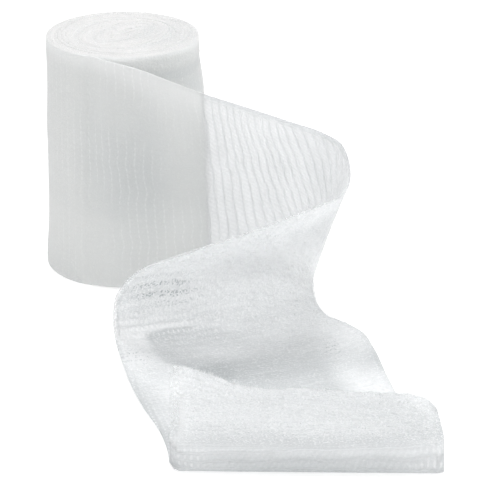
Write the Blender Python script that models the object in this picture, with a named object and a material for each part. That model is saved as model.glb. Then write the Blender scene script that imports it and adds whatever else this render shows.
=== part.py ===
"""A gauze bandage: a wound roll that stands on its end, and the loose tail that leaves it.

The strip is one width of cloth. It leaves the front of the roll standing on its edge, leans over as it
runs to the right, turns back in a round bend, lies down towards the front, and its end is folded back
over it. Millimetres in the tables, metres in the meshes. The origin is the middle of the roll's base.
"""

import math

import bmesh
import bpy
from mathutils import Vector

MM = 0.001
MERGE = 0.001  # points closer than this, in millimetres, are one
SHARP_EDGE = math.radians(40)

# Driving dimensions, in millimetres
WIDTH = 75.0  # the strip's width, and so the roll's height
SHEET = 1.2  # thickness of the loose cloth
LAY = SHEET / 2  # height of the cloth's middle where it lies on the surface
GAP = 0.3  # clearance between the roll and the tail
LIP_ANGLE = -124.0  # where the last turn of the roll becomes the tail, degrees from +X
LIP_STEP = SHEET + 2 * GAP  # how far the roll's outline steps in at that place

SHOULDER = 66.0  # height above which the roll's side begins to round over

# The roll's outline by height: radius of the last turn, and how far it leans right and forward
ROLL_LEVELS = (
    # height, radius, right, forward
    (0.0, 25.2, 1.4, 2.2),
    (4.0, 24.9, 1.7, 2.0),
    (11.0, 24.5, 1.9, 1.6),
    (24.0, 24.4, 1.7, 1.0),
    (45.0, 24.3, 0.8, 0.4),
    (SHOULDER, 24.2, 0.1, 0.0),
    (73.4, 24.1, 0.0, 0.0),
    (WIDTH, 22.9, 0.0, 0.0),
)
ROLL_SIDES = 64

# The main twists on the roll's upper end: one spiral groove, flatter and off centre at its core
TWIST_PITCH = 6.0  # from one groove to the next
TWIST_DEPTH = 1.5
TWIST_RISE = 0.5  # how far the twists stand above the rim
TWIST_START = 20.2  # radius at which the first groove begins
TWIST_RINGS = 22
TWIST_SHARPNESS = 3  # a higher power makes the groove narrower
CORE_CENTRE = (0.5, 3.5)  # where the core lies, off the roll's middle
CORE_SHAPE = (1.35, 0.75)  # the core is a flattened loop: its length and breadth as shares of a circle

# The tail's ribs, from the roll to the cut end. Each has its upper end (the left edge once it lies
# down), its lower end (the right edge) and how far its middle bows out of the line between them.
TAIL_ROWS = (
    # top_x, top_y, top_z, bottom_x, bottom_y, bottom_z, bow
    (-4.6, -26.2, 74.6, -3.0, -26.7, LAY, 0.0),
    (5.7, -31.5, 73.5, 7.5, -26.0, LAY, 0.0),
    (15.7, -38.0, 71.8, 19.5, -23.0, LAY, 0.6),
    (25.5, -43.0, 69.7, 32.0, -19.8, LAY, 1.5),
    (37.8, -46.5, 66.8, 46.5, -16.4, LAY, 2.0),
    (51.9, -50.5, 63.3, 56.5, -14.2, LAY, 1.5),
    (61.5, -54.5, 61.2, 58.6, -14.8, LAY, 1.0),
    (66.8, -58.5, 59.2, 59.1, -16.0, LAY, 0.5),
    (69.2, -63.5, 54.6, 59.3, -17.2, LAY, 0.0),
    (69.0, -68.5, 50.6, 59.3, -18.6, LAY, -0.5),
    (66.0, -72.5, 47.6, 59.2, -20.2, LAY, -1.0),
    (60.0, -76.0, 46.2, 59.1, -22.0, LAY, -1.5),
    (49.0, -80.5, 43.3, 59.1, -25.0, LAY, -2.5),
    (33.4, -84.0, 38.6, 59.2, -29.5, LAY, -4.0),
    (17.5, -84.0, 33.0, 59.6, -35.0, LAY, -5.0),
    (5.8, -82.0, 27.4, 60.6, -42.5, LAY, -5.0),
    (0.2, -79.5, 19.8, 63.2, -50.5, LAY, -4.5),
    (-1.2, -76.5, 11.0, 68.5, -58.5, 1.4, -4.0),
    (-0.4, -79.5, 4.6, 73.2, -70.0, 3.2, -3.0),
    (1.8, -90.5, 2.8, 76.4, -83.5, 3.4, -2.5),
    (4.8, -105.0, 1.6, 79.2, -99.5, 2.6, -1.5),
    (9.4, -121.0, LAY, 82.6, -115.5, 1.2, -0.3),
    (14.8, -139.0, LAY, 87.4, -136.0, LAY, 0.0),
    (18.6, -161.0, LAY, 93.0, -162.6, LAY, 0.0),
)
FOLD_RADIUS = 3.0  # of the cloth's middle round the front fold
FOLD_STEPS = 6
FLAP_ROWS = (
    # top_x, top_y, top_z, bottom_x, bottom_y, bottom_z, bow
    (17.9, -150.0, 6.9, 93.4, -154.0, 6.4, 0.3),
    (16.9, -136.0, 7.6, 93.2, -143.0, 5.6, 0.2),
    (16.4, -123.0, 8.8, 92.8, -131.0, 4.6, -0.2),
    (16.4, -111.0, 10.2, 91.4, -119.0, 3.9, -0.8),
)
EDGE_DROP = 0.2  # how far the tail's upper edge begins below the roll's upper end
ROLL_CONTACT = (LIP_ANGLE + 1.0, -114.0)  # angles at which the whole rib still lies on the roll
TAIL_STEPS = 3  # steps between two rows
RIB_CELLS = 10  # cells along a rib


def clear_scene():
    for item in list(bpy.data.objects):
        bpy.data.objects.remove(item, do_unlink=True)


def gauze(name, colour, roughness):
    material = bpy.data.materials.new(name)
    material.use_nodes = True
    shader = material.node_tree.nodes["Principled BSDF"]
    shader.inputs["Base Color"].default_value = (*colour, 1.0)
    shader.inputs["Roughness"].default_value = roughness
    shader.inputs["Metallic"].default_value = 0.0
    return material


def mesh_object(name, bm, material):
    """Merges doubled points, turns the faces outward and scales the mesh to metres."""
    bmesh.ops.remove_doubles(bm, verts=bm.verts, dist=MERGE)
    bmesh.ops.recalc_face_normals(bm, faces=bm.faces)
    bmesh.ops.scale(bm, vec=Vector((MM, MM, MM)), verts=bm.verts)
    mesh = bpy.data.meshes.new(name)
    bm.to_mesh(mesh)
    bm.free()
    mesh.shade_smooth()
    mesh.set_sharp_from_angle(angle=SHARP_EDGE)
    mesh.materials.append(material)
    item = bpy.data.objects.new(name, mesh)
    bpy.context.collection.objects.link(item)
    return item


def level_at(height):
    """Radius of the last turn and its two leans, at a height."""
    for low, high in zip(ROLL_LEVELS, ROLL_LEVELS[1:]):
        if height <= high[0]:
            share = (height - low[0]) / (high[0] - low[0])
            return [low[k] + share * (high[k] - low[k]) for k in (1, 2, 3)]
    return ROLL_LEVELS[-1][1:]


def wound_share(angle):
    """0 just past the lip, growing to 1 where the last turn reaches it again."""
    return ((angle - LIP_ANGLE) % 360.0) / 360.0


def roll_point(angle, height, outward=0.0):
    """A point on the roll's side, or that far outside it."""
    radius, right, forward = level_at(height)
    radius += LIP_STEP * (wound_share(angle) - 1.0) + outward
    across, deep = math.cos(math.radians(angle)), math.sin(math.radians(angle))
    x = radius * across + right * max(across, 0.0)
    y = radius * deep + forward * min(deep, 0.0)
    return Vector((x, y, height))


def roll_ring(height):
    """The outline at a height, with both sides of the lip."""
    angles = [LIP_ANGLE + 360.0 * k / ROLL_SIDES for k in range(ROLL_SIDES)]
    ring = [roll_point(angle, height) for angle in angles]
    return ring + [roll_point(LIP_ANGLE, height, LIP_STEP)]


def twist_height(x, y):
    """Height of the upper end: one groove winds in from the rim to the core."""
    core = 1.0 - min(math.hypot(x, y) / TWIST_START, 1.0)
    dx, dy = (
        (value - centre * core) / (1.0 + (shape - 1.0) * core)
        for value, centre, shape in zip((x, y), CORE_CENTRE, CORE_SHAPE)
    )
    turns = (TWIST_START - math.hypot(dx, dy)) / TWIST_PITCH
    phase = turns + wound_share(math.degrees(math.atan2(dy, dx)))
    groove = (0.5 + 0.5 * math.cos(2.0 * math.pi * phase)) ** TWIST_SHARPNESS
    fade = min(max(2.0 * turns, 0.0), 1.0)
    return WIDTH + (TWIST_RISE - TWIST_DEPTH * groove) * fade


def bridge(bm, first, second):
    """Quads between two rings of points of equal count, as one closed band."""
    count = len(first)
    for k in range(count):
        j = (k + 1) % count
        bm.faces.new((first[k], first[j], second[j], second[k]))


def build_roll(material):
    bm = bmesh.new()
    rings = []
    for height, *_ in ROLL_LEVELS:
        rings.append([bm.verts.new(point) for point in roll_ring(height)])
    outline = roll_ring(WIDTH)
    for k in range(TWIST_RINGS):
        share = 1.0 - (k + 1.0) / (TWIST_RINGS + 1.0)
        ring = []
        for point in outline:
            reach = min(point.xy.length, TWIST_START) * share
            flat = point.xy.normalized() * reach
            ring.append(bm.verts.new((flat.x, flat.y, twist_height(flat.x, flat.y))))
        rings.append(ring)
    for first, second in zip(rings, rings[1:]):
        bridge(bm, first, second)
    bm.faces.new(list(reversed(rings[0])))
    bm.faces.new(rings[-1])
    return mesh_object("roll", bm, material)


def row(values):
    top = Vector(values[0:3])
    bottom = Vector(values[3:6])
    return top, bottom, values[6]


def front_fold(last, first):
    """Rows round the front fold, from the layer on the surface up to the flap over it."""
    rows = []
    for k in range(1, FOLD_STEPS):
        turn = math.pi * k / FOLD_STEPS
        rise = FOLD_RADIUS * (1.0 - math.cos(turn))
        reach = Vector((0.0, -FOLD_RADIUS * math.sin(turn), rise))
        rows.append((last[0] + reach, last[1] + reach, 0.0))
    over = Vector((0.0, 0.0, 2.0 * FOLD_RADIUS))
    rows.append((last[0] + over, last[1] + over, first[2]))
    return rows


def tail_rows():
    middle = GAP + SHEET / 2
    rows = []
    for angle in ROLL_CONTACT:
        top = roll_point(angle, SHOULDER, middle)
        top.z = WIDTH - EDGE_DROP
        bottom = roll_point(angle, 0.0, middle)
        bottom.z = LAY
        rows.append((top, bottom, 0.0))
    rows += [row(values) for values in TAIL_ROWS]
    flap = [row(values) for values in FLAP_ROWS]
    return rows + front_fold(rows[-1], flap[0]) + flap


def smooth_between(points, share, k):
    """A point on the smooth curve through the points, a share of the way from the k-th to the next."""
    last = len(points) - 1
    a, b, c, d = (points[min(max(k + j, 0), last)] for j in (-1, 0, 1, 2))
    pull = (2 * b, c - a, 2 * a - 5 * b + 4 * c - d, 3 * b - a - 3 * c + d)
    return 0.5 * (pull[0] + pull[1] * share + pull[2] * share**2 + pull[3] * share**3)


def tail_ribs():
    """The sheet's middle as ribs of points, from the roll to the cut end."""
    rows = tail_rows()
    tops, bottoms = [r[0] for r in rows], [r[1] for r in rows]
    bows = [r[2] for r in rows]
    ribs = []
    for k in range(len(rows) - 1):
        for step in range(TAIL_STEPS + (k == len(rows) - 2)):
            share = step / TAIL_STEPS
            top = smooth_between(tops, share, k)
            bottom = smooth_between(bottoms, share, k)
            ribs.append((top, bottom, smooth_between(bows, share, k)))
    return [bowed(ribs, k) for k in range(len(ribs))]


def bowed(ribs, k):
    """The points of one rib, its middle pushed out along the sheet's own facing."""
    top, bottom, bow = ribs[k]
    before, after = ribs[max(k - 1, 0)], ribs[min(k + 1, len(ribs) - 1)]
    along = (after[0] + after[1]) - (before[0] + before[1])
    facing = (top - bottom).cross(along).normalized()
    points = []
    for j in range(RIB_CELLS + 1):
        share = j / RIB_CELLS
        points.append(top.lerp(bottom, share) + facing * (4.0 * bow * share * (1.0 - share)))
    return points


def facing_at(ribs, k, j):
    """The sheet's normal at a point of a rib."""
    before, after = ribs[max(k - 1, 0)], ribs[min(k + 1, len(ribs) - 1)]
    here = ribs[k]
    along = after[j] - before[j]
    across = here[max(j - 1, 0)] - here[min(j + 1, RIB_CELLS)]
    return across.cross(along).normalized()


def build_tail(material):
    bm = bmesh.new()
    ribs = tail_ribs()
    loops = []
    for k, rib in enumerate(ribs):
        sides = []
        for side in (SHEET / 2, -SHEET / 2):
            points = [point + facing_at(ribs, k, j) * side for j, point in enumerate(rib)]
            sides.append([(p.x, p.y, max(p.z, 0.0)) for p in points])
        loops.append([bm.verts.new(p) for p in sides[0] + sides[1][::-1]])
    for first, second in zip(loops, loops[1:]):
        bridge(bm, first, second)
    bm.faces.new(list(reversed(loops[0])))
    bm.faces.new(loops[-1])
    bmesh.ops.triangulate(bm, faces=[face for face in bm.faces if len(face.verts) > 4])
    return mesh_object("tail", bm, material)


clear_scene()
build_roll(gauze("wound_gauze", (0.80, 0.81, 0.82), 0.95))
build_tail(gauze("loose_gauze", (0.84, 0.845, 0.85), 0.9))
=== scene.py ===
"""The looks of a gauze bandage: a wound roll that stands on its end, and its loose tail.

The whole bandage is one ribbed strip of knitted gauze. Millimetres in the tables and in the shapes,
metres in the finished meshes. "Along" runs down the strip from the roll to the cut end, and "across"
runs from the strip's upper edge (the left one once it lies down) to its lower edge.
"""

import math
from types import SimpleNamespace

import bpy
import numpy as np
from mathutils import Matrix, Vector


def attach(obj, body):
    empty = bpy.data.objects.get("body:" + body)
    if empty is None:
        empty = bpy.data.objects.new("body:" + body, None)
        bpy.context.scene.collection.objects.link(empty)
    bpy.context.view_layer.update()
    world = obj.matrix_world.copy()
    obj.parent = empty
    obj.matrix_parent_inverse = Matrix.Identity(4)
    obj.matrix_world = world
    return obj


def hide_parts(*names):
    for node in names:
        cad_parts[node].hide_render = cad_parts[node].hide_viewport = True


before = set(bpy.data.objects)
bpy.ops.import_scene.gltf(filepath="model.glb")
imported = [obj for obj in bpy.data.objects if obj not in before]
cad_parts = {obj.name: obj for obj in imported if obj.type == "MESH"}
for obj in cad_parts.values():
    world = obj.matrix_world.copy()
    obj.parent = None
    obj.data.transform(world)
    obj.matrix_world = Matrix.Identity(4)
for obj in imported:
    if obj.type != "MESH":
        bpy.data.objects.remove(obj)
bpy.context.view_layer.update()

MM = 0.001

# The strip
WIDTH = 75.0
SHEET = 0.9  # thickness at the middle of a rib
LAY = SHEET / 2  # height of the cloth's middle where it lies on the floor
RIB_PITCH = 2.7
SELVAGE = 1.9  # width of the smooth band along each edge
STITCH = 1.9  # from one stitch to the next along a rib
STITCH_SLANT = 1.0  # stitches that a slanting yarn passes while it crosses a rib
DASH_SPACING = 3.0
BEAD_SPACING = 1.7
TURNING = (90.0, 105.0)  # along, where the tail turns back and shows its other side
WOUND_FADE = (47.4, 50.0)  # along, where the tail stops looking like the closely wound cloth
FADE_LEAN = 0.065  # how much sooner that is for each millimetre across

# The roll, as in the frame
LIP_ANGLE = -124.0  # where the last turn becomes the tail, degrees from +X
LIP_STEP = 1.8  # how far the roll's outline steps in there
ROLL_RADIUS = 24.3  # at half its height
ROLL_LEVELS = (
    # height, radius, right, forward
    (0.0, 25.2, 1.4, 2.2),
    (4.0, 24.9, 1.7, 2.0),
    (11.0, 24.5, 1.9, 1.6),
    (24.0, 24.4, 1.7, 1.0),
    (45.0, ROLL_RADIUS, 0.8, 0.4),
    (66.0, 24.2, 0.1, 0.0),
    (WIDTH, 24.1, 0.0, 0.0),
)
LEVEL_SPREAD = (-4.0, -2.0, 0.0, 2.0, 4.0)  # heights over which the outline is smoothed

# The turns inside it
TURNS = 19.55  # from the lip to the innermost end
TURN_PITCH = 1.15
TURN_THICKNESS = 1.9  # more than the pitch, so that the soft rims close up
RIM_RISE = 0.22  # of the rounded rim over the band's sides
CREASE = 68.3  # height of the crease under the puffed upper band, right of the tail
BAND_PUFF = 1.3
BAND_FROM = (0.62, 0.74)  # in turns, where it starts
SIDE_SWELL = 1.0  # of the last turn's right side, under the crease
SWELL_MIDDLE = (0.66, 56.0)  # its turn and height
SWELL_REACH = (0.12, 11.0)
CORE_FROM = 3.0  # the turn from which the loops begin to flatten
CORE_CENTRE = (0.6, 3.8)
CORE_AXIS = math.radians(49.0)
CORE_STRETCH = (1.9, 0.5)  # along the flattened loop and across it
LIP_LAP = 0.0273  # of a turn, how far the last turn runs on under the tail
LIP_TUCK = 0.6  # how far it dips there
LAST_SPAN = 1.08 + LIP_LAP  # in turns, of the last turn with its laps
LAST_ROUND = 2 * math.pi * (ROLL_RADIUS - LIP_STEP / 2)  # once round it
ROLL_FULLNESS = 0.45  # how far the soft last turn stands out of the frame's outline
# Painted shade and painted light on the turns, in soft patches: under the crease, at the foot, in rings
# on the top and in the core
TURN_SHADE_AND_LIGHT = (
    # turn, height, reach in turns, reach up, painted shade towards the shade colour (less than 0:
    # painted light)
    (0.70, 61.0, 0.20, 7.0, 0.26),
    (0.76, 67.4, 0.16, 1.6, 0.30),
    (0.10, 0.0, 0.4, 7.0, 0.12),
    (7.0, 75.0, 1.0, 3.0, 0.13),
    (9.0, 75.0, 1.3, 3.0, -0.12),
    (12.6, 75.0, 1.0, 3.0, 0.11),
    (16.0, 75.0, 1.3, 3.0, -0.10),
    (19.5, 75.0, 0.14, 3.0, 0.60),
)
PAINTED_EDGE_LIGHT = 0.38  # how strongly the painted light along the soft upper edge lifts it towards the loose cloth's colour
GLOW_REACH = (3.8, 8.8)  # down from the edge, on the roll and on the tail
GLOW_TURN = (12.0, 38.0)  # along the tail, where one turns into the other
GLOW_LOSS = 0.8  # how much weaker the painted edge light is on the roll's right
RIM_SHADE = 0.18  # of the painted shade on the upper rims on the roll's right
LIGHT_STEP_LINE = 51.0  # across, where the painted light low on the roll's side begins
LIGHT_STEP = 0.07
LIGHT_STEP_REACH = 14.0
ROLL_DASHES = (8.0, 4.0, 0.6)  # across, reach, how far they show on the roll
TWISTS = (
    # turn, half-width in turns, depth of the trough
    (1.15, 0.40, 0.10),
    (6.6, 1.8, 0.45),
    (11.6, 1.8, 0.28),
    (15.0, 1.6, 0.25),
    (19.5, 1.6, 0.80),
)

# The tail's ribs, as in the frame: upper end, lower end and bow
TAIL_ROWS = (
    # top_x, top_y, top_z, bottom_x, bottom_y, bottom_z, bow
    (-4.6, -26.2, 74.6, -3.0, -26.7, LAY, 0.0),
    (5.7, -31.5, 73.5, 7.5, -26.0, LAY, 0.0),
    (15.7, -38.0, 71.8, 19.5, -23.0, LAY, 0.6),
    (25.5, -43.0, 69.7, 32.0, -19.8, LAY, 1.5),
    (37.8, -46.5, 66.8, 46.5, -16.4, LAY, 2.0),
    (51.9, -50.5, 63.3, 56.5, -14.2, LAY, 1.5),
    (61.5, -54.5, 61.2, 58.6, -14.8, LAY, 1.0),
    (66.8, -58.5, 59.2, 59.1, -16.0, LAY, 0.5),
    (69.2, -63.5, 54.6, 59.3, -17.2, LAY, 0.0),
    (69.0, -68.5, 50.6, 59.3, -18.6, LAY, -0.5),
    (66.0, -72.5, 47.6, 59.2, -20.2, LAY, -1.0),
    (60.0, -76.0, 46.2, 59.1, -22.0, LAY, -1.5),
    (49.0, -80.5, 43.3, 59.1, -25.0, LAY, -2.5),
    (33.4, -84.0, 38.6, 59.2, -29.5, LAY, -4.0),
    (17.5, -84.0, 33.0, 59.6, -35.0, LAY, -5.0),
    (5.8, -82.0, 27.4, 60.6, -42.5, LAY, -5.0),
    (0.2, -79.5, 19.8, 63.2, -50.5, LAY, -4.5),
    (-1.2, -76.5, 11.0, 68.5, -58.5, 1.4, -4.0),
    (-0.4, -79.5, 4.6, 73.2, -70.0, 3.2, -3.0),
    (1.8, -90.5, 2.8, 76.4, -83.5, 3.4, -2.5),
    (4.8, -105.0, 1.6, 79.2, -99.5, 2.6, -1.5),
    (9.4, -121.0, LAY, 82.6, -115.5, 1.2, -0.3),
    (14.8, -139.0, LAY, 87.4, -136.0, LAY, 0.0),
    (17.4, -161.0, LAY, 93.0, -162.6, LAY, 0.0),
)
TAIL_DROP = 0.3  # how far below the roll's upper edge the tail's starts
FOLD_RADIUS = 3.0
FOLD_STEPS = 12
FOLD_FOOT = 0.7  # less than 1: the fold's lower quarter is squarer than a round
FOLD_CORNERS = (
    # across, reach, how far the fold's corner is drawn back there
    (0.0, 8.0, 6.5),
    (75.0, 3.0, 1.6),
)
FLAP_ROWS = (
    # top_x, top_y, top_z, bottom_x, bottom_y, bottom_z, bow
    (17.1, -150.0, 6.9, 93.4, -154.0, 6.4, 0.3),
    (16.9, -136.0, 7.6, 93.2, -143.0, 5.6, 0.2),
    (16.4, -123.0, 8.8, 92.8, -131.0, 4.6, -0.2),
    (16.4, -111.0, 10.2, 91.4, -119.0, 3.9, -0.8),
)
FLUSH = LIP_STEP + ROLL_FULLNESS - SHEET / 2  # where the tail's outer face meets the last turn's
CONTACT = (
    # angle on the roll, how far outside its inner outline the tail's middle lies
    (LIP_ANGLE - 10.0, FLUSH - 0.085),
    (LIP_ANGLE - 5.0, FLUSH - 0.012),
    (LIP_ANGLE, FLUSH + 0.03),
    (LIP_ANGLE + 5.0, FLUSH - 0.04),
    (LIP_ANGLE + 10.0, FLUSH - 0.36),
)

# Sampling of the meshes
ACROSS_CELLS = 58
RIB_PHASES = (0.0, 0.11, 0.27, 0.5, 0.73, 0.89)  # columns within one rib, the groove at 0
ROW_STEPS = 24

# Relief of the ribs
GROOVE_WIDTH = 0.16  # of a rib
GROOVE_DEPTH = 0.08
WOUND_GROOVE = 0.02
WOBBLE = 0.07  # of a rib, how far its lines stray
WANDER = 0.12  # how far a groove strays from its line
PLAIN_FROM = (240.0, 265.0)  # along, where the grooves flatten out towards the flap
SKEWS = (
    # along: from, full, until, gone; how far the ribs run askew over the strip's width
    (50.0, 86.0, 92.0, 130.0, -16.0),
    (104.0, 164.0, 180.0, 240.0, 22.0),
    (250.0, 270.0, 400.0, 500.0, -16.0),
)

# Edges and nap
EDGE_THICKNESS = 0.4  # of the sheet's, along its edges
EDGE_TAPER = 1.8  # from an edge to the full thickness
EDGE_ROUNDING = 0.3  # of the thickness, how far an edge's middle stands out
EDGE_TUFTS = 0.75  # how far the napped edge's tufts stand out
TUFTS_UNTIL = (130.0, 142.0)  # along, where they end
TUFT_SPACING = 0.8
NAP_RELIEF = 0.10
NAP_BLUR = 7.0  # how softly a zone of nap ends
NAP_ZONES = (
    # side (1 outer, -1 inner), along from, along to, how much nap covers the ribs
    (1, 89.0, 100.0, 0.4),
    (-1, 97.0, 150.0, 1.0),
    (-1, 143.0, 192.0, 0.35),
    (1, 263.0, 400.0, 1.0),
)
HAIR_RADIUS = 0.07
HAIR_BLUR = 5.0  # how softly a zone of hairs ends
NAP_HAIRS = (
    # side, along from and to, across from and to, count, length
    (-1, 108.0, 148.0, 0.0, 75.0, 6000, 1.0),
    (1, 268.0, 306.0, 0.0, 75.0, 7000, 0.9),
)
EDGE_HAIRS = (
    # edge, from, to, count, length
    ("upper", 104.0, 160.0, 450, 1.0),
    ("cut", 3.0, 45.0, 1500, 1.7),
)
ROLL_HAIRS = (3500, 0.8)  # count, length

SOFT_FOLDS = (
    # along, across, reach along, reach across, height on the side that shows where the tail turns back
    (140.0, 26.0, 7.0, 20.0, 2.0),
    (168.0, 40.0, 12.0, 24.0, -1.4),
    (303.0, 24.0, 14.0, 13.0, 2.2),
    (303.0, 52.0, 12.0, 14.0, 0.8),
)
CUT_DIPS = (
    # across, reach, how far the cut end falls short there
    (24.0, 16.0, 5.5),
    (50.0, 18.0, 4.0),
)
CUT_TUFTS = 0.9  # how uneven the cut end is
CORNER_RADIUS = 8.0  # of the cut end's lower corner

# Painted shade and painted light on the cloth, in soft patches
SHADE_AND_LIGHT_PATCHES = (
    # along, across, reach along, reach across, painted shade towards the shade colour (less than 0:
    # painted light, away from it)
    (10.0, 30.0, 8.0, 17.0, 0.14),
    (20.0, 37.0, 10.0, 18.0, 0.32),
    (31.0, 34.0, 7.0, 24.0, 0.28),
    (36.0, 30.0, 6.0, 24.0, -0.14),
    (36.0, 62.0, 8.0, 14.0, -0.24),
    (83.0, 12.0, 5.0, 26.0, 0.10),
    (97.0, 44.0, 0.6, 26.0, 0.16),
    (98.0, 58.0, 6.0, 22.0, -0.14),
    (111.0, 42.0, 9.0, 17.0, -0.22),
    (126.0, 42.0, 14.0, 32.0, -0.10),
    (142.0, 8.0, 7.0, 8.0, 0.10),
    (157.0, 4.0, 6.0, 5.0, -0.06),
    (165.0, 30.0, 6.0, 15.0, -0.18),
    (166.0, 15.0, 4.0, 5.0, 0.12),
    (168.0, 4.0, 7.0, 6.0, -0.12),
    (177.0, 73.0, 11.0, 8.0, 0.31),
    (179.0, 24.0, 7.0, 13.0, 0.26),
    (187.0, 5.0, 11.0, 7.0, 0.14),
    (206.0, 1.0, 20.0, 6.0, 0.22),
    (228.0, 0.0, 11.0, 8.0, 0.20),
    (250.0, 38.0, 3.5, 38.0, 0.42),
    (263.0, 38.0, 6.0, 40.0, 0.14),
    (275.0, 70.0, 14.0, 11.0, 0.15),
    (275.0, 38.0, 9.0, 40.0, -0.05),
)
POCKET_CREASE = (
    # across, along: where the hollow between the turned-back part and the flap begins
    (0.0, 157.0),
    (9.0, 155.0),
    (11.3, 153.4),
    (17.0, 150.6),
    (23.0, 149.2),
    (34.0, 148.0),
    (60.0, 150.0),
    (75.0, 156.0),
)
POCKET_LEFT = (
    # along, across: where it ends at the left
    (149.0, 8.5),
    (155.0, 9.1),
    (163.0, 10.3),
    (171.0, 11.8),
    (175.0, 19.0),
    (200.0, 28.0),
)
POCKET_RIGHT = (57.0, 67.0)  # across, where it ends at the right
POCKET_END = (195.0, 215.0)  # along, where it ends under the flap
POCKET_SHADE = (0.13, 0.34)  # at its crease and under the flap's cut end
POCKET_DEPTH = (8.0, 28.0)  # along, past the crease, where one turns into the other
POCKET_ONSET = (0.6, 12.0)  # along, past the crease, where the shade is full, at its left and right
ONSET_TURN = (28.0, 46.0)  # across, where one turns into the other
POCKET_CORNER = 0.26  # more shade in its left corner
CORNER_ALONG = 8.0  # how far that reaches past the crease
CORNER_ACROSS = (15.0, 36.0)  # where it ends at the right
CREASE_LIGHT = 0.06  # of the painted highlight along the crease's rim, at its left
BEADED = (
    # along, across, reach along, reach across, how far the bright beads show
    (149.0, 13.0, 6.0, 16.0, 0.9),
    (214.0, 2.0, 26.0, 9.0, 0.45),
    (254.0, 4.0, 3.0, 4.0, 1.0),
    (253.0, 72.0, 5.0, 5.0, 0.6),
)
BALD = BEADED[:1]  # where the nap has worn off as well
WORN = (
    # along, across, reach along, reach across, how open the worn stitches are
    (138.0, 15.0, 4.0, 12.0, 1.0),
    (168.0, 4.5, 6.0, 5.0, 0.8),
    (135.8, 66.0, 1.5, 3.5, 0.5),
    (166.0, 64.0, 8.0, 3.0, 0.6),
)
DASHED = (
    # along, across, reach along, reach across, how far the stitches show as rows of dashes
    (6.0, 5.0, 9.0, 4.0, 0.8),
    (267.0, 16.0, 7.0, 24.0, 1.0),
    (270.0, 55.0, 8.0, 26.0, 1.0),
    (278.0, 73.0, 18.0, 6.0, 0.8),
)
FLAP_SIDE = (260.0, 268.0)  # along, where the flap's left edge begins to thin out
FLAP_SIDE_WIDTH = 5.0
TURNED_EDGE = (96.0, 106.0, 150.0, 165.0)  # along: its upper edge thins out from, full, until, gone
TURNED_EDGE_WIDTH = 1.3
TURNED_EDGE_LOSS = 0.75

# The cloth's colours, the wound and rim ones darkened as painted shade, and how strongly each mark of
# its pattern shows
LOOSE = (0.985, 0.99, 0.995)
# on the roll: the cloth's colour darkened as painted shade
SHADED_WOUND = (0.690, 0.700, 0.693)
SHADE = (0.50, 0.525, 0.535)
SHADED_RIM = (0.692, 0.684, 0.682)  # of the roll's upper rims: the cloth's colour darkened as painted shade
BASE_SHADE = 0.16  # how far the cloth between its glints lies from its own colour towards the shade
LINE_SHADE = 0.13
NAPPED_LINE_SHADE = 0.04
STITCH_SHADE = 0.12
SELVAGE_SHADE = 0.13
STREAK_SHADE = 0.20
NAP_SHADE = 0.08
PIT_SHADE = 0.9
DASH_SHADE = 0.22
GRAIN_SHADE = 0.55
SOFT_SHADE = 0.14
GLINT_LIGHT = 0.75
BARE_GLINT_LIGHT = 0.10
BEAD_LIGHT = 0.20
BEAD_GLOW = 0.80
FIBRE = (0.96, 0.965, 0.97)
CLOTH_COVER = 0.75  # how much the loose cloth hides what lies behind it
LIGHT_THROUGH = 0.5  # share of the loose cloth's light that comes from behind

# The floor
FLOOR_HALF = 3000.0
FLOOR_DROP = 0.2
FLOOR_TONES = (0.56, 0.58)
FLOOR_GLOW = 0.60

# The studio's lamps and camera, in metres
WORLD_LIGHT = 0.23
LAMPS_AIM = (0.03, -0.05, 0.03)
LAMPS = (
    # name, place, size, power
    ("overhead", (0.0, 0.30, 1.3), 1.0, 15.8),
    ("front", (0.0, -1.2, 0.7), 1.0, 5.0),
    ("left", (-1.2, -0.3, 0.6), 0.8, 2.6),
    ("right", (1.2, -0.3, 0.6), 0.8, 5.8),
)
CAMERA_PLACE = (0.0396, -1.0235, 0.403)
CAMERA_PITCH = 21.38  # degrees below level
CAMERA_LENS = 246.6
CAMERA_SENSOR = 36.0


def smooth_step(low, high, value):
    """0 below low, 1 above high and a soft rise between them."""
    share = np.clip((value - low) / (high - low), 0.0, 1.0)
    return share * share * (3.0 - 2.0 * share)


def fade_out(low, high, value):
    return 1.0 - smooth_step(low, high, value)


def bell(value, middle, reach):
    return np.exp(-(((value - middle) / reach) ** 2))


def between(ends, share):
    return ends[0] + (ends[1] - ends[0]) * share


def ripple(seed, x, y, wavelength, waves=7):
    """Smooth uneven waves of about unit height over a plane, the same for a seed each time."""
    rng = np.random.default_rng(seed)
    total = np.zeros(np.broadcast(x, y).shape)
    for _ in range(waves):
        turn = rng.uniform(0.0, 2.0 * math.pi)
        pace = 2.0 * math.pi / (wavelength * rng.uniform(0.6, 1.6))
        phase = rng.uniform(0.0, 2.0 * math.pi)
        total = total + np.sin(pace * (x * math.cos(turn) + y * math.sin(turn)) + phase)
    return total / math.sqrt(waves / 2.0)


def unit(vectors):
    return vectors / np.linalg.norm(vectors, axis=-1, keepdims=True)


# ---- the roll's form


def level_at(height):
    """Radius of the last turn and its two leans, at an array of heights."""
    table = np.array(ROLL_LEVELS)
    spread = [
        [np.interp(height + shift, table[:, 0], table[:, k]) for shift in LEVEL_SPREAD]
        for k in (1, 2, 3)
    ]
    return np.mean(spread, axis=1)


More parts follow.
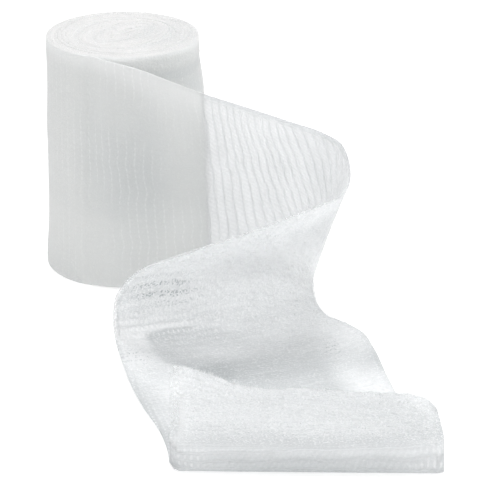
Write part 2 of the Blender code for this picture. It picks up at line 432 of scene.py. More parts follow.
def wound_point(turns, outward, height):
    """Points of the wound strip, so many turns inward from the lip, at a height."""
    angle = np.radians(LIP_ANGLE - 360.0 * turns)
    radius, right, forward = level_at(height)
    inward = LIP_STEP * np.minimum(turns, 1.0) + TURN_PITCH * np.maximum(turns - 1.0, 0.0)
    reach = radius - inward + outward
    share = reach / radius
    across, deep = np.cos(angle), np.sin(angle)
    x = reach * across + share * right * np.maximum(across, 0.0)
    y = reach * deep + share * forward * np.minimum(deep, 0.0)
    core = smooth_step(CORE_FROM, TURNS, turns) ** 1.2
    turn_x, turn_y = math.cos(CORE_AXIS), math.sin(CORE_AXIS)
    long = (x * turn_x + y * turn_y) * (1.0 + (CORE_STRETCH[0] - 1.0) * core)
    short = (y * turn_x - x * turn_y) * (1.0 + (CORE_STRETCH[1] - 1.0) * core)
    x = long * turn_x - short * turn_y + CORE_CENTRE[0] * core
    y = long * turn_y + short * turn_x + CORE_CENTRE[1] * core
    return np.stack(np.broadcast_arrays(x, y, height), axis=-1)


# ---- the tail's form


def contact_row(angle, outward, shares):
    """A rib that still lies on the roll, so it follows the roll's outline."""
    height = between((WIDTH - TAIL_DROP, LAY), shares)
    turns = (LIP_ANGLE - angle) / 360.0 + 1.0
    return wound_point(np.full_like(height, turns), outward, height)


def line_row(values, shares):
    top, bottom = np.array(values[0:3]), np.array(values[3:6])
    return top + (bottom - top) * shares[:, None]


def front_fold(last, first):
    """Rows round the front fold, from the layer on the floor up to the flap over it."""
    rows = []
    for k in range(1, FOLD_STEPS):
        turn = math.pi * k / FOLD_STEPS
        squareness = FOLD_FOOT if turn < math.pi / 2 else 1.0
        forward = -FOLD_RADIUS * math.sin(turn) ** squareness
        reach = (0.0, forward, FOLD_RADIUS * (1.0 - math.cos(turn)))
        rows.append((last + np.array(reach), 0.0))
    rows.append((last + np.array((0.0, 0.0, 2.0 * FOLD_RADIUS)), first))
    return rows


def tail_rows(shares):
    """Every row of the tail as its points and its bow."""
    rows = [(contact_row(angle, outward, shares), 0.0) for angle, outward in CONTACT]
    rows += [(line_row(values, shares), values[6]) for values in TAIL_ROWS]
    flap = [(line_row(values, shares), values[6]) for values in FLAP_ROWS]
    return rows + front_fold(rows[-1][0], flap[0][1]) + flap


def smooth_between(rows, gaps, steps):
    """Smooth curves through rows that lie so far apart, with so many steps from each to the next."""
    gaps = gaps.reshape((-1,) + (1,) * (rows.ndim - 1))
    slopes = np.diff(rows, axis=0) / gaps
    inner = (slopes[:-1] * gaps[1:] + slopes[1:] * gaps[:-1]) / (gaps[1:] + gaps[:-1])
    slopes = np.concatenate([slopes[:1], inner, slopes[-1:]])
    pieces = []
    for k in range(len(rows) - 1):
        leave, arrive = slopes[k] * gaps[k], slopes[k + 1] * gaps[k]
        for share in np.arange(steps) / steps:
            ahead = share * share * (3.0 - 2.0 * share)
            bend = leave * (1.0 - share) - arrive * share
            pieces.append(rows[k] + (rows[k + 1] - rows[k]) * ahead + bend * share * (1.0 - share))
    pieces.append(rows[-1])
    return np.array(pieces)


def facing_of(grid):
    """The sheet's normals at a grid of points, on the side that shows where the tail turns back."""
    along = np.gradient(grid, axis=0)
    across = -np.gradient(grid, axis=1)
    return unit(np.cross(across, along))


def patches(table, along, across):
    """The sum of a table's soft patches at points of the strip."""
    total = np.zeros(np.broadcast(along, across).shape)
    for middle, beside, reach_along, reach_across, amount in table:
        away = ((along - middle) / reach_along) ** 2 + ((across - beside) / reach_across) ** 2
        total += amount * np.exp(-away)
    return total


class Tail:
    """The middle of the loose cloth as a dense grid, read by distance along it."""

    def __init__(self):
        self.shares = np.linspace(0.0, 1.0, ACROSS_CELLS + 1)
        self.across = self.shares * WIDTH
        grid = self.bowed_grid()
        steps = np.linalg.norm(np.diff(grid[:, ACROSS_CELLS // 2], axis=0), axis=1)
        self.along = np.concatenate([[0.0], np.cumsum(steps)])
        self.length = self.along[-1]
        folds = patches(SOFT_FOLDS, self.along[:, None], self.across)
        self.grid = grid + facing_of(grid) * folds[:, :, None]
        self.grid[:, :, 2] = np.maximum(self.grid[:, :, 2], LAY)
        self.round_fold_corners()

    def bowed_grid(self):
        """Smooth rows through the tables' ribs, each bowed as its row says."""
        rows = tail_rows(self.shares)
        points = np.array([row for row, _ in rows])
        gaps = np.linalg.norm(np.diff(points, axis=0), axis=-1).mean(axis=1)
        grid = smooth_between(points, gaps, ROW_STEPS)
        bows = smooth_between(np.array([[bow] for _, bow in rows]), gaps, ROW_STEPS)
        along = np.gradient(grid[:, 0] + grid[:, -1], axis=0)
        facing = unit(np.cross(grid[:, 0] - grid[:, -1], along))
        swell = 4.0 * bows * (self.shares * (1.0 - self.shares))[None, :]
        return grid + facing[:, None, :] * swell[:, :, None]

    def round_fold_corners(self):
        front = self.grid[:, :, 1].min(axis=0)
        for across, reach, back in FOLD_CORNERS:
            inward = np.clip(1.0 - np.abs(self.across - across) / reach, 0.0, 1.0)
            front = front + back * (1.0 - np.sqrt(1.0 - inward**2))
        self.grid[:, :, 1] = np.maximum(self.grid[:, :, 1], front[None, :])

    def end_at(self, across):
        """Where the cut end lies along the strip: a little uneven, with one rounded corner."""
        end = np.full_like(across, self.length)
        for place, reach, dip in CUT_DIPS:
            end = end - dip * bell(across, place, reach)
        tufts = np.random.default_rng(17).uniform(0.0, CUT_TUFTS, ACROSS_CELLS + 1)
        end = end - np.interp(across, self.across, tufts)
        round_in = np.clip(across - (WIDTH - CORNER_RADIUS), 0.0, CORNER_RADIUS)
        return end - (CORNER_RADIUS - np.sqrt(CORNER_RADIUS**2 - round_in**2))

    def spot(self, along, across):
        """Single points of the cloth, by distance along and across."""
        k = np.clip(np.searchsorted(self.along, along), 0, len(self.along) - 1)
        j = np.clip(across / WIDTH * ACROSS_CELLS, 0.0, ACROSS_CELLS - 1e-3)
        low = j.astype(int)
        share = (j - low)[:, None]
        return self.grid[k, low] * (1.0 - share) + self.grid[k, low + 1] * share

    def line(self, column, along):
        """Points of one column of the grid at distances along."""
        points = [np.interp(along, self.along, self.grid[:, column, axis]) for axis in range(3)]
        return np.stack(points, axis=-1)

    def at(self, along):
        """Points at distances along, given for each share across."""
        return np.stack([self.line(j, along[:, j]) for j in range(along.shape[1])], axis=1)


# ---- meshes


def add_object(name, vertices, faces):
    """An object from points in millimetres."""
    mesh = bpy.data.meshes.new(name)
    mesh.from_pydata((vertices * MM).tolist(), [], faces)
    mesh.update()
    item = bpy.data.objects.new(name, mesh)
    bpy.context.scene.collection.objects.link(item)
    return item


def strip_mesh(name, vertices, faces, strip, marks):
    """Cloth whose points know their place on the strip, the marks of their pattern and their painted
    light and shade.
    """
    item = add_object(name, vertices.reshape(-1, 3), faces.tolist())
    layer = item.data.attributes.new("strip", "FLOAT_VECTOR", "POINT")
    layer.data.foreach_set("vector", strip.astype(np.float32).ravel())
    for label, values in marks.items():
        layer = item.data.attributes.new(label, "FLOAT", "POINT")
        layer.data.foreach_set("value", values.astype(np.float32).ravel())
    item.data.shade_smooth()
    return item


def tube_faces(columns, ring):
    """Faces of a closed tube: bands between its rings, and a cap of quads at each end."""
    here = np.arange(columns - 1)[:, None] * ring
    around = np.arange(ring)[None, :]
    after = (around + 1) % ring
    band = np.stack([here + around, here + ring + around, here + ring + after, here + after], axis=-1)
    half = np.arange(ring // 2 - 1)
    cap = np.stack([half, half + 1, ring - 2 - half, ring - 1 - half], axis=-1)
    last = (columns - 1) * ring + cap[:, ::-1]
    return np.concatenate([band.reshape(-1, 4), cap, last])


def groove_at(phase):
    """1 in the groove between two ribs, 0 on the ribs."""
    away = np.abs((phase + 0.5) % 1.0 - 0.5)
    return bell(away, 0.0, GROOVE_WIDTH)


def rib_phases(length):
    """Positions of the mesh's columns along a strip, in ribs."""
    ribs = length / RIB_PITCH
    phases = (np.arange(math.ceil(ribs))[:, None] + np.array(RIB_PHASES)).ravel()
    return np.append(phases[phases < ribs - 0.05], ribs)


def nap_at(side, along):
    total = np.zeros_like(along)
    for zone, start, end, amount in NAP_ZONES:
        if zone == side:
            inside = smooth_step(start - NAP_BLUR, start + NAP_BLUR, along)
            inside = inside * fade_out(end - NAP_BLUR, end + NAP_BLUR, along)
            total = np.maximum(total, amount * inside)
    return total


def pocket_shade(along, across):
    """The painted shade in the hollow between the turned-back part and the flap, with a painted
    highlight along its crease.
    """
    past = along - np.interp(across, *np.array(POCKET_CREASE).T)
    left = np.interp(along, *np.array(POCKET_LEFT).T)
    corner = fade_out(*CORNER_ACROSS, across) * bell(np.maximum(past, 0.0), 0.0, CORNER_ALONG)
    onset = between(POCKET_ONSET, smooth_step(*ONSET_TURN, across))
    inside = smooth_step(-0.4, onset, past) * smooth_step(-0.5, 1.2, across - left)
    inside = inside * fade_out(*POCKET_RIGHT, across) * fade_out(*POCKET_END, along)
    shade = between(POCKET_SHADE, smooth_step(*POCKET_DEPTH, past)) + POCKET_CORNER * corner
    rim = bell(past, -1.2, 1.0) * corner * smooth_step(3.0, 9.0, across)
    return inside * shade - CREASE_LIGHT * rim


def painted_light_step(across):
    """The painted light step low on the roll's side."""
    step = smooth_step(LIGHT_STEP_LINE, LIGHT_STEP_LINE + 1.5, across)
    return -LIGHT_STEP * step * bell(across, LIGHT_STEP_LINE, LIGHT_STEP_REACH)


# ---- the tail's cloth


def around_strip(inner, outer, lower_edge, upper_edge):
    """Values for the ring round each column: a side, the lower edge, the other side, the upper edge."""
    return np.concatenate([inner, lower_edge[:, None], outer[:, ::-1], upper_edge[:, None]], axis=1)


def both_sides(values):
    return around_strip(values, values, values[:, -1], values[:, 0])


def wound_share(even, across):
    return fade_out(*WOUND_FADE, even + FADE_LEAN * across)


def tail_places(tail, even):
    """Where the points lie along the tail: its grooves wander and its cut end is uneven."""
    stray = WANDER * ripple(3, 0.4 * even, tail.across, 17.0)
    ends = smooth_step(0.0, 3.0, even) * smooth_step(0.0, 3.0, tail.length - even)
    short = (tail.length - tail.end_at(tail.across)) * smooth_step(-22.0, 0.0, even - tail.length)
    return np.clip(even + stray * ends - short, 0.0, tail.length)


def rib_numbers(even, across):
    """The ribs' numbers at points of the strip. They run a little askew, and wobble."""
    skew = sum(
        amount * smooth_step(start, full, even) * fade_out(level, end, even)
        for start, full, level, end, amount in SKEWS
    )
    skew = skew * (across / WIDTH - 0.5)
    return (even + skew) / RIB_PITCH + WOBBLE * ripple(13, 0.3 * even, across, 9.0)


def tail_side(side, even, across, rib):
    """How far a side of the cloth stands from its middle, and the nap on it."""
    edge = np.minimum(across, WIDTH - across)
    nap = nap_at(side, even) * (1.0 - 0.75 * patches(BALD, even, across))
    depth = between((GROOVE_DEPTH, WOUND_GROOVE), wound_share(even, across))
    groove = groove_at(rib) * smooth_step(SELVAGE * 0.5, SELVAGE * 1.3, edge)
    groove = groove * (1.0 - 0.75 * nap) * fade_out(*PLAIN_FROM, even)
    fluff = NAP_RELIEF * nap * ripple(5 + side, even, across, 2.2)
    thickness = SHEET * between((EDGE_THICKNESS, 1.0), smooth_step(0.0, EDGE_TAPER, edge))
    return thickness / 2 - depth * groove + fluff, nap


def tail_edges(middle, even):
    """The middle lines of the lower and the upper edge, the upper one with small tufts."""
    lower = middle[:, -1] + unit(middle[:, -1] - middle[:, -3]) * SHEET * EDGE_ROUNDING
    lumps = np.random.default_rng(9).uniform(-0.5, 0.6, len(even))
    lumps = 0.5 * ripple(7, even, 0.0, 4.5) + lumps
    tufts = EDGE_TUFTS * lumps * nap_at(-1, even) * fade_out(*TUFTS_UNTIL, even)
    outward = unit(middle[:, 0] - middle[:, 2])
    upper = middle[:, 0] + outward * (SHEET * EDGE_ROUNDING + tufts)[:, None]
    return lower, upper


def tail_marks(even, across):
    """The marks of the pattern that both sides share, with their painted light and shade."""
    wound = wound_share(even, across)
    late = smooth_step(*GLOW_TURN, even)
    # painted shade and painted light: the patches, the hollow and the light step low on the roll
    tint = patches(SHADE_AND_LIGHT_PATCHES, even, across) + pocket_shade(even, across)
    return {
        "wound": wound,
        "tint": tint + painted_light_step(across) * fade_out(14.0, 30.0, even),
        "worn": patches(WORN, even, across),
        "dashed": patches(DASHED, even, across),
        "beaded": patches(BEADED, even, across),
        # painted light along the upper edge
        "glow": PAINTED_EDGE_LIGHT * wound * bell(across, 0.0, between(GLOW_REACH, late)) * (1.0 - 0.3 * late),
    }


def build_tail(tail):
    across = tail.across
    even = rib_phases(tail.length)[:, None] * RIB_PITCH * np.ones_like(across)
    rib = rib_numbers(even, across)
    middle = tail.at(tail_places(tail, even))
    facing = facing_of(middle)
    sides, naps = [], []
    for side in (-1, 1):
        reach, nap = tail_side(side, even, across, rib)
        sides.append(middle - side * facing * reach[:, :, None])
        naps.append(nap)
    ring = around_strip(*sides, *tail_edges(middle, even[:, 0]))
    ring[:, :, 2] = np.maximum(ring[:, :, 2], 0.0)
    strip = (rib, np.broadcast_to(across, rib.shape), even)
    strip = np.stack([both_sides(values) for values in strip], axis=-1)
    marks = {label: both_sides(values) for label, values in tail_marks(even, across).items()}
    marks["nap"] = around_strip(*naps, naps[0][:, -1], naps[0][:, 0])
    return strip_mesh("tail_sheet", ring, tube_faces(*ring.shape[:2]), strip, marks)


# ---- the roll's cloth


def twist_height(turns, along):
    """Height of the strip's upper edge in the roll."""
    height = np.full_like(turns, WIDTH)
    for turn, half, depth in TWISTS:
        height = height - depth * bell(turns, turn, half)
    crown = 0.3 * smooth_step(1.2, 3.5, turns)
    uneven = 0.03 * ripple(11, along, 37.0 * np.round(turns), 14.0)
    return height + crown + uneven * smooth_step(0.9, 2.0, turns)


def turn_section(side_cells, rim_cells):
    """A turn's section as outward share (-1 to 1), rim height and which rim, right round."""
    climb = np.linspace(0.0, 1.0, side_cells + 1)
    arc = np.linspace(0.0, math.pi, rim_cells + 1)[1:-1]
    outward = np.concatenate([np.ones_like(climb), np.cos(arc), -np.ones_like(climb), -np.cos(arc)])
    climbed = np.concatenate([climb, np.ones_like(arc), climb[::-1], np.zeros_like(arc)])
    bulge = np.concatenate([0 * climb, np.sin(arc), 0 * climb, -np.sin(arc)])
    return outward, climbed, bulge


def turn_marks(turn, height, top, bulge):
    """The marks of the pattern on the wound strip, with its painted light and shade."""
    rim = np.where(np.broadcast_to(bulge, height.shape) > 0.05, 1.0, 0.0)
    rightward = np.cos(np.radians(LIP_ANGLE - 360.0 * turn))
    # painted light along the upper edge, weaker on the roll's right
    glow = PAINTED_EDGE_LIGHT * bell(height, top, GLOW_REACH[0]) * (1.0 - rim)
    tint = painted_light_step(WIDTH - height) + patches(TURN_SHADE_AND_LIGHT, turn, height)
    place, reach, dashes = ROLL_DASHES
    return {
        "nap": between((0.15, 1.0), fade_out(0.5, 5.0, top - height)),
        "wound": np.ones_like(height),
        "glow": glow * (1.0 - GLOW_LOSS * smooth_step(-0.3, 0.8, rightward)),
        "rim": rim,
        "tint": tint + RIM_SHADE * rim * smooth_step(0.3, 1.0, rightward),
        "dashed": dashes * bell(WIDTH - height, place, reach),
    }


def build_turns(name, turns, along, side_cells, rim_cells, relief):
    """A stretch of the wound strip as one closed band, standing on the floor."""
    outward, climbed, bulge = turn_section(side_cells, rim_cells)
    top = twist_height(turns, along)[:, None]
    height = RIM_RISE + climbed * (top - 2 * RIM_RISE) + bulge * RIM_RISE
    turn = np.broadcast_to(turns[:, None], height.shape)
    place = np.broadcast_to(along[:, None], height.shape)
    reach = (outward - 1.0) * TURN_THICKNESS / 2 + relief(turn, place, height, outward)
    points = wound_point(turn, reach, height)
    points[:, :, 2] = np.maximum(points[:, :, 2], 0.0)
    strip = np.stack([place / RIB_PITCH, WIDTH - height, place], axis=-1)
    faces = tube_faces(*height.shape)[:, ::-1]
    return strip_mesh(name, points, faces, strip, turn_marks(turn, height, top, bulge))


def last_turn_relief(turns, along, height, outward):
    """Ribs on the outer face, the puffed band over its crease and slow unevenness."""
    body = smooth_step(0.0, 2.0, height) * fade_out(WIDTH - 2.5, WIDTH, height)
    band = smooth_step(CREASE - 0.8, CREASE + 1.6, height)
    band = band * (1.0 - 0.5 * smooth_step(WIDTH - 3.0, WIDTH, height))
    puffed = BAND_PUFF * band - 0.5 * bell(height, CREASE - 0.8, 1.0)
    puffed = puffed * smooth_step(*BAND_FROM, turns)
    swell = bell(turns, SWELL_MIDDLE[0], SWELL_REACH[0]) * bell(height, SWELL_MIDDLE[1], SWELL_REACH[1])
    slow = 0.10 * ripple(21, along, height, 26.0) * body * smooth_step(0.035, 0.10, turns)
    tucked = LIP_TUCK * smooth_step(0.004, -LIP_LAP, turns)
    groove = WOUND_GROOVE * groove_at(along / RIB_PITCH) * body
    relief = ROLL_FULLNESS + puffed + SIDE_SWELL * swell - tucked - groove + slow
    return np.maximum(outward, 0.0) * relief


def inner_relief(turns, along, height, outward):
    return 0.03 * ripple(31, along, height, 5.0)


def build_last_turn():
    along = rib_phases(LAST_SPAN * LAST_ROUND) * RIB_PITCH
    turns = along / LAST_ROUND - LIP_LAP
    return build_turns("roll_last_turn", turns, -along, 46, 6, last_turn_relief)


def build_inner_turns():
    """The turns inside the last one, with a column for each millimetre."""
    turns = [LAST_SPAN - LIP_LAP - 0.002]
    lengths = [LAST_SPAN * LAST_ROUND]
    while turns[-1] < TURNS:
        radius = ROLL_RADIUS - LIP_STEP - TURN_PITCH * (turns[-1] - 1.0)
        turns.append(turns[-1] + 1.0 / (2 * math.pi * max(radius, 3.0)))
        lengths.append(lengths[-1] + 1.0)
    return build_turns("roll_inner_turns", np.array(turns), -np.array(lengths), 4, 6, inner_relief)


# ---- fibres


def build_fibres(name, groups, spread, seed):
    """Fine tapered hairs as one mesh, each with three sides, a bend and a point.

    Each group holds the hairs' roots, the normals there and their lengths.
    """
    roots, normals, lengths = (np.concatenate(part) for part in zip(*groups))
    rng = np.random.default_rng(seed)
    count = len(roots)
    lean = unit(rng.normal(size=(count, 3)))
    first = unit(normals + spread * lean)
    second = unit(first + 0.9 * spread * unit(rng.normal(size=(count, 3))))
    side = unit(np.cross(first, unit(rng.normal(size=(count, 3)))))
    other = np.cross(first, side)
    bend = roots + first * lengths[:, None] * 0.5
    tip = bend + second * lengths[:, None] * 0.5
    corners = [(math.cos(a), math.sin(a)) for a in np.radians((0.0, 120.0, 240.0))]
    rings = [
        np.stack([base + HAIR_RADIUS * size * (c * side + s * other) for c, s in corners], axis=1)
        for base, size in ((roots, 1.0), (bend, 0.8))
    ]
    vertices = np.concatenate([rings[0], rings[1], tip[:, None, :]], axis=1)
    start = np.arange(count)[:, None] * 7
    quads = [start + np.array([[k, (k + 1) % 3, 3 + (k + 1) % 3, 3 + k]]) for k in range(3)]
    tips = [start + np.array([[3 + k, 3 + (k + 1) % 3, 6]]) for k in range(3)]
    faces = [face for group in quads + tips for face in group.tolist()]
    return add_object(name, vertices.reshape(-1, 3), faces)


def tail_hairs(tail, name, zones, seed):
    """Hairs on the tail's sides, zone by zone."""
    rng = np.random.default_rng(seed)
    facing = facing_of(tail.grid)
    groups = []
    for side, start, end, left, right, count, length in zones:
        across = rng.uniform(left, right, count)
        along = rng.uniform(start, end, count) + HAIR_BLUR * rng.normal(size=count)
        last = tail.end_at(across) - 0.3
        along = np.where(along > last, 2.0 * last - along, along)
        k = np.clip(np.searchsorted(tail.along, along), 0, len(tail.along) - 1)
        column = across / WIDTH * ACROSS_CELLS
        j = np.round(column).astype(int)
        here, beside = tail.grid[k, j], tail.grid[k, np.minimum(j + 1, ACROSS_CELLS)]
        normal = -side * facing[k, j]
        root = here + (beside - here) * (column - j)[:, None] + normal * SHEET * 0.42
        groups.append((root, normal, length * rng.uniform(0.4, 1.0, count) ** 1.5))
    return build_fibres(name, groups, 1.1, seed)


def edge_hairs(tail, name, edges, seed):
    """Hairs that stand out of the tail's edges in small tufts."""
    rng = np.random.default_rng(seed)
    groups = []
    for which, start, end, count, length in edges:
        place = rng.uniform(start, end, count)
        if which == "cut":
            edge = tail.spot(tail.end_at(place), place)
            inside = tail.spot(tail.end_at(place) - 1.5, place)
        else:
            edge, inside = tail.line(0, place), tail.line(2, place)
        outward = unit(edge - inside)
        tufts = rng.uniform(0.1, 1.5, 500)
        tufts = np.interp(place, TUFT_SPACING * np.arange(len(tufts)), tufts)
        root = edge - outward * rng.uniform(0.0, 0.5, count)[:, None]
        groups.append((root, outward, length * tufts * rng.uniform(0.3, 1.0, count)))
    return build_fibres(name, groups, 0.9, seed)


def roll_hairs(name, count, length, seed):
    """Hairs on the rims of the roll's turns."""
    rng = np.random.default_rng(seed)
    turns = (TURNS - 0.2) * (1.0 - np.sqrt(rng.uniform(0.0, 1.0, count)))
    height = twist_height(turns, turns * 90.0)
    roots = wound_point(turns, rng.uniform(-1.1, 0.0, count), height - 0.1)
    normals = np.tile([0.0, 0.0, 1.0], (count, 1))
    lengths = length * rng.uniform(0.4, 1.0, count) ** 1.5
    return build_fibres(name, [(roots, normals, lengths)], 1.6, seed)


# ---- materials


class Nodes:
    """Short calls for building one material's nodes."""

    def __init__(self, name):
        self.material = bpy.data.materials.new(name)
        self.material.use_nodes = True
        self.tree = self.material.node_tree
        self.shader = self.tree.nodes["Principled BSDF"]
        self.surface = self.tree.nodes["Material Output"].inputs["Surface"]

    def add(self, kind, **settings):
        node = self.tree.nodes.new(kind)
        for key, value in settings.items():
            setattr(node, key, value)
        return node

    def put(self, value, socket):
        """A link from another socket, or a plain value."""
        if isinstance(value, bpy.types.NodeSocket):
            self.tree.links.new(value, socket)
        else:
            socket.default_value = value

    def feed(self, node, **values):
        for key, value in values.items():
            self.put(value, node.inputs[key.replace("_", " ")])

    def maths(self, operation, *values, clamp=False):
        node = self.add("ShaderNodeMath", operation=operation, use_clamp=clamp)
        for socket, value in zip(node.inputs, values):
            self.put(value, socket)
        return node.outputs[0]

    def minus(self, first, second):
        return self.maths("SUBTRACT", first, second)

    def product(self, first, *others):
        for other in others:
            first = self.maths("MULTIPLY", first, other)
        return first

    def total(self, first, *others):
        for other in others:
            first = self.maths("ADD", first, other)
        return first

    def weighted(self, *terms):
        """The sum of products of sockets and numbers."""
        return self.total(*(self.product(*factors) for factors in terms))

    def wave(self, value):
        """A sine with one wave for each unit."""
        return self.maths("SINE", self.product(value, 2.0 * math.pi))

    def ramp(self, value, low, high, start=0.0, end=1.0):
        node = self.add("ShaderNodeMapRange", interpolation_type="SMOOTHSTEP")
        self.feed(node, Value=value, From_Min=low, From_Max=high, To_Min=start, To_Max=end)
        return node.outputs[0]

    def noise(self, vector, scale, detail=2.0, roughness=0.5):
        node = self.add("ShaderNodeTexNoise")
        self.feed(node, Vector=vector, Scale=scale, Detail=detail, Roughness=roughness)
        return node.outputs["Fac"]

    def attribute(self, name, output="Fac"):
        return self.add("ShaderNodeAttribute", attribute_name=name).outputs[output]

    def joined(self, x, y):
        node = self.add("ShaderNodeCombineXYZ")
        self.feed(node, X=x, Y=y)
        return node.outputs[0]

    def mixed(self, share, first, second):
        """One colour to another by a share. A colour is a socket or three numbers."""
        node = self.add("ShaderNodeMix", data_type="RGBA")
        self.put(share, node.inputs[0])
        for colour, socket in ((first, node.inputs[6]), (second, node.inputs[7])):
            self.put(colour if isinstance(colour, bpy.types.NodeSocket) else (*colour, 1.0), socket)
        return node.outputs[2]

    def blend(self, share, first, second):
        """One shader to another by a share."""
        node = self.add("ShaderNodeMixShader")
        for value, socket in zip((share, first, second), node.inputs):
            self.put(value, socket)
        return node.outputs[0]

    def glowing_through(self, share, colour):
        """The plain shader with a share of light that comes through from behind."""
        behind = self.add("ShaderNodeBsdfTranslucent")
        self.feed(behind, Color=colour)
        return self.blend(share, self.shader.outputs[0], behind.outputs[0])

    def object_place(self):
        return self.add("ShaderNodeTexCoord").outputs["Object"]


def stitch_masks(n, rib, across, place, fine):
    """Masks of the single stitches, as sockets by name."""
    within = n.maths("FRACT", rib)
    start = n.maths("FRACT", n.product(n.maths("FLOOR", rib), 0.618))
    slant = n.minus(n.maths("DIVIDE", across, STITCH), n.product(within, STITCH_SLANT))
    slant = n.total(slant, start, n.product(fine, 0.9))
    blobs = n.noise(n.joined(slant, n.product(rib, 1.7)), 1.5, 2.0, 0.6)
    stitch = n.ramp(n.weighted((n.wave(slant), 0.55), (blobs, 3.0)), 0.7, 2.3)
    away = n.maths("ABSOLUTE", n.minus(within, 0.5))
    away = n.minus(away, n.product(stitch, 0.04))
    edge = n.maths("MINIMUM", across, n.minus(WIDTH, across))
    dots = n.ramp(n.maths("SINE", n.product(across, 2.0 * math.pi / STITCH)), -1.0, 1.0, 0.25, 1.0)
    pits = n.ramp(n.noise(place, 1500.0, 0.0), 0.55, 0.60)
    spaced = n.wave(n.total(n.maths("DIVIDE", across, DASH_SPACING), n.product(start, 2.0), fine))
    strung = n.maths("DIVIDE", across, BEAD_SPACING)
    strung = n.wave(n.total(strung, n.product(start, 5.0), n.product(fine, 0.5)))
    return {
        "line": n.product(n.ramp(away, 0.34, 0.45), n.ramp(edge, SELVAGE * 0.6, SELVAGE)),
        "between": n.minus(1.0, stitch),
        "selvage": n.ramp(edge, SELVAGE * 0.7, SELVAGE, 1.0, 0.0),
        "inside": n.ramp(edge, SELVAGE * 0.7, SELVAGE),
        "dots": n.product(n.ramp(away, 0.34, 0.48), dots),
        "pits": n.product(n.ramp(away, 0.10, 0.30), pits, n.attribute("worn")),
        "dashes": n.product(n.ramp(away, 0.28, 0.42), n.ramp(spaced, 0.1, 0.8), n.attribute("dashed")),
        "beads": n.product(
            n.ramp(away, 0.10, 0.30, 1.0, 0.0), n.ramp(strung, 0.2, 0.9), n.attribute("beaded")
        ),
    }


def frayed_mask(n, across, along):
    """Where the cloth thins out: the flap's left edge, and the upper edge where the tail turns back."""
    flap_side = n.ramp(across, 0.0, FLAP_SIDE_WIDTH, 1.0, 0.0)
    flap_side = n.product(n.ramp(along, *FLAP_SIDE), flap_side)
    start, full, until, gone = TURNED_EDGE
    turned_edge = n.product(
        n.ramp(along, start, full),
        n.ramp(along, until, gone, 1.0, 0.0),
        n.ramp(across, 0.0, TURNED_EDGE_WIDTH, TURNED_EDGE_LOSS, 0.0),
    )
    return n.total(flap_side, turned_edge)


def knit(n):
    """The strip's pattern and its painted light and shade: its masks as sockets by name."""
    parts = n.add("ShaderNodeSeparateXYZ")
    n.feed(parts, Vector=n.attribute("strip", "Vector"))
    rib, across, along = parts.outputs["X"], parts.outputs["Y"], parts.outputs["Z"]
    place = n.object_place()
    fine = n.noise(place, 1500.0, 2.0, 0.6)
    masks = {label: n.attribute(label) for label in ("nap", "wound", "tint", "glow")}
    masks |= stitch_masks(n, rib, across, place, fine)
    loose = n.minus(1.0, masks["wound"])
    return masks | {
        "fine": fine,
        "bare": n.minus(1.0, masks["nap"]),
        "loose": loose,
        "unwound": n.ramp(loose, 0.6, 1.0),
        "early": n.ramp(along, *TURNING, 1.0, 0.0),
        "late": n.ramp(along, *TURNING),
        "frayed": frayed_mask(n, across, along),
        "patchy": n.ramp(n.noise(place, 45.0, 1.0), 0.38, 0.62),
        "grain": n.noise(place, 2000.0, 1.0, 0.6),
        "glints": n.ramp(n.noise(place, 1800.0, 0.0), 0.60, 0.66),
        "streaks": n.noise(n.joined(n.product(rib, 1.1), n.product(across, 0.03)), 1.0, 2.0),
        "threads": n.noise(n.joined(n.product(rib, 0.1), n.product(across, 0.8)), 1.0, 2.0),
        "soft": n.noise(place, 110.0, 3.0, 0.5),
    }


def cloth_tone(n, k):
    """The cloth's colour: towards the shade where its pattern dims it or shade is painted, and back
    where its beads or painted light show.
    """
    streaks, threads = n.minus(0.5, k.streaks), n.minus(0.5, k.threads)
    grain, soft = n.minus(0.5, k.grain), n.minus(0.5, k.soft)
    dim = n.weighted(
        (k.line, k.bare, k.loose, k.early, LINE_SHADE),
        (k.line, k.bare, k.late, 0.85 * LINE_SHADE),
        (k.line, k.nap, NAPPED_LINE_SHADE),
        (k.between, k.bare, k.loose, k.inside, STITCH_SHADE),
        (k.selvage, k.loose, SELVAGE_SHADE),
        (k.beads, -BEAD_GLOW),
        (k.pits, PIT_SHADE),
        (k.dashes, DASH_SHADE),
        (k.nap, NAP_SHADE),
        (k.glints, k.nap, -GLINT_LIGHT),
        (k.glints, k.bare, -BARE_GLINT_LIGHT),
        (streaks, k.wound, 0.5 * STREAK_SHADE),
        (streaks, k.late, 0.2 * STREAK_SHADE),
        (streaks, k.loose, STREAK_SHADE),
        (threads, k.wound, 0.5 * STREAK_SHADE),
        (grain, k.nap, GRAIN_SHADE),
        (grain, k.bare, 0.15 * GRAIN_SHADE),
        (soft, SOFT_SHADE),
        # painted shade and painted light from the patch tables
        (k.tint,),
    )
    dim = n.maths("ADD", dim, BASE_SHADE, clamp=True)
    # the wound cloth and the rims take their colours darkened as painted shade
    base = n.mixed(n.attribute("rim"), n.mixed(k.wound, LOOSE, SHADED_WOUND), SHADED_RIM)
    # lifted towards the loose colour by the beads and by the painted light along the upper edge
    beads = n.weighted((k.dots, k.wound, k.bare, k.patchy, BEAD_LIGHT), (k.glow,))
    return n.mixed(beads, n.mixed(dim, base, SHADE), LOOSE)


def cloth_bump(n, k):
    """Small hollows between the stitches, and a fine grain."""
    height = n.weighted(
        (k.between, k.bare, k.loose, -0.8),
        (k.line, k.bare, k.loose, -0.4),
        (k.pits, -1.0),
        (k.grain,),
        (k.fine,),
    )
    bump = n.add("ShaderNodeBump")
    n.feed(bump, Strength=0.7, Distance=0.0002, Height=height)
    return bump.outputs["Normal"]


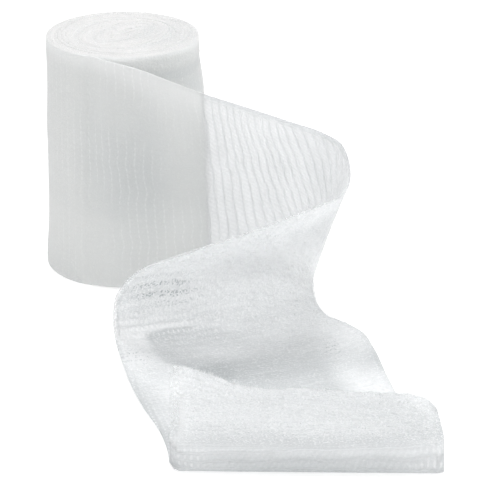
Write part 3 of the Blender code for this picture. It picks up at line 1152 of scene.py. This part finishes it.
def cloth_cover(n, k):
    """How much the loose cloth hides what lies behind it."""
    cover = n.weighted(
        (k.nap, 0.22),
        (k.wound, 1.0 - CLOTH_COVER),
        (k.line, k.bare, k.unwound, 0.92 - CLOTH_COVER),
        (k.selvage, k.unwound, 0.95 - CLOTH_COVER),
        (k.frayed, -1.0),
    )
    return n.maths("ADD", cover, CLOTH_COVER, clamp=True)


def gauze(name, sheer):
    """Knitted gauze: ribs with denser lines between them, slanting stitches and a brushed nap."""
    n = Nodes(name)
    k = SimpleNamespace(**knit(n))
    tone = cloth_tone(n, k)
    rough = n.ramp(k.fine, 0.3, 0.8, 0.75, 0.95)
    n.feed(n.shader, Base_Color=tone, Roughness=rough, Normal=cloth_bump(n, k))
    n.feed(n.shader, Sheen_Weight=0.25, Sheen_Roughness=0.6, Specular_IOR_Level=0.3)
    if sheer:
        clear = n.add("ShaderNodeBsdfTransparent").outputs[0]
        cloth = n.glowing_through(n.product(k.loose, LIGHT_THROUGH), tone)
        n.put(n.blend(cloth_cover(n, k), clear, cloth), n.surface)
    return n.material


def fibre_material():
    """Single fibres, which light from behind shines through."""
    n = Nodes("gauze_fibre")
    share = n.ramp(n.noise(n.object_place(), 400.0, 1.0), 0.35, 0.65)
    tone = n.mixed(share, FIBRE, [0.93 * part for part in FIBRE])
    n.feed(n.shader, Base_Color=tone, Roughness=0.6)
    n.put(n.glowing_through(LIGHT_THROUGH, tone), n.surface)
    return n.material


# ---- the studio


def build_floor():
    """The pale floor, a little below the object's lowest points."""
    corners = FLOOR_HALF * np.array([(-1, -1, 0), (1, -1, 0), (1, 1, 0), (-1, 1, 0)])
    floor = add_object("floor", corners - (0.0, 0.0, FLOOR_DROP), [(0, 1, 2, 3)])
    n = Nodes("floor")
    grain = n.ramp(n.noise(n.object_place(), 30.0), 0.0, 1.0, *FLOOR_TONES)
    tone = n.add("ShaderNodeCombineColor")
    n.feed(tone, Red=grain, Green=grain, Blue=grain)
    n.feed(n.shader, Base_Color=tone.outputs["Color"], Roughness=0.9)
    n.feed(n.shader, Emission_Color=(1.0, 1.0, 1.0, 1.0), Emission_Strength=FLOOR_GLOW)
    floor.data.materials.append(n.material)


def area_light(name, place, size, power):
    light = bpy.data.lights.new(name, "AREA")
    light.shape = "DISK"
    light.size = size
    light.energy = power
    item = bpy.data.objects.new(name, light)
    item.location = place
    item.rotation_euler = (Vector(LAMPS_AIM) - Vector(place)).to_track_quat("-Z", "Y").to_euler()
    bpy.context.scene.collection.objects.link(item)


def build_studio():
    world = bpy.data.worlds.new("studio")
    world.use_nodes = True
    sky = world.node_tree.nodes["Background"]
    sky.inputs["Color"].default_value = (1.0, 1.0, 1.0, 1.0)
    sky.inputs["Strength"].default_value = WORLD_LIGHT
    bpy.context.scene.world = world
    for lamp in LAMPS:
        area_light(*lamp)
    bpy.context.scene.view_settings.view_transform = "Standard"


def build_camera():
    data = bpy.data.cameras.new("camera")
    data.sensor_fit = "HORIZONTAL"
    data.sensor_width = CAMERA_SENSOR
    data.lens = CAMERA_LENS
    data.clip_start = 0.05
    camera = bpy.data.objects.new("camera", data)
    camera.location = CAMERA_PLACE
    camera.rotation_euler = (math.radians(90.0 - CAMERA_PITCH), 0.0, 0.0)
    bpy.context.scene.collection.objects.link(camera)
    bpy.context.scene.camera = camera


# ---- putting it together

build_camera()
build_floor()
build_studio()

roll_gauze = gauze("wound_gauze", sheer=False)
loose_gauze = gauze("loose_gauze", sheer=True)
hair = fibre_material()

tail = Tail()
sheet = build_tail(tail)
last_turn = build_last_turn()
inner_turns = build_inner_turns()
surface_nap = tail_hairs(tail, "tail_nap", NAP_HAIRS, 41)
edge_fibres = edge_hairs(tail, "tail_edge_fibres", EDGE_HAIRS, 43)
roll_fibres = roll_hairs("roll_rim_fibres", *ROLL_HAIRS, 47)

for item, material, slot in (
    (sheet, loose_gauze, "loose_gauze"),
    (surface_nap, hair, "loose_gauze"),
    (edge_fibres, hair, "loose_gauze"),
    (last_turn, roll_gauze, "wound_gauze"),
    (inner_turns, roll_gauze, "wound_gauze"),
    (roll_fibres, hair, "wound_gauze"),
):
    item.data.materials.append(material)
    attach(item, "root")

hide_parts("tail")
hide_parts("roll")
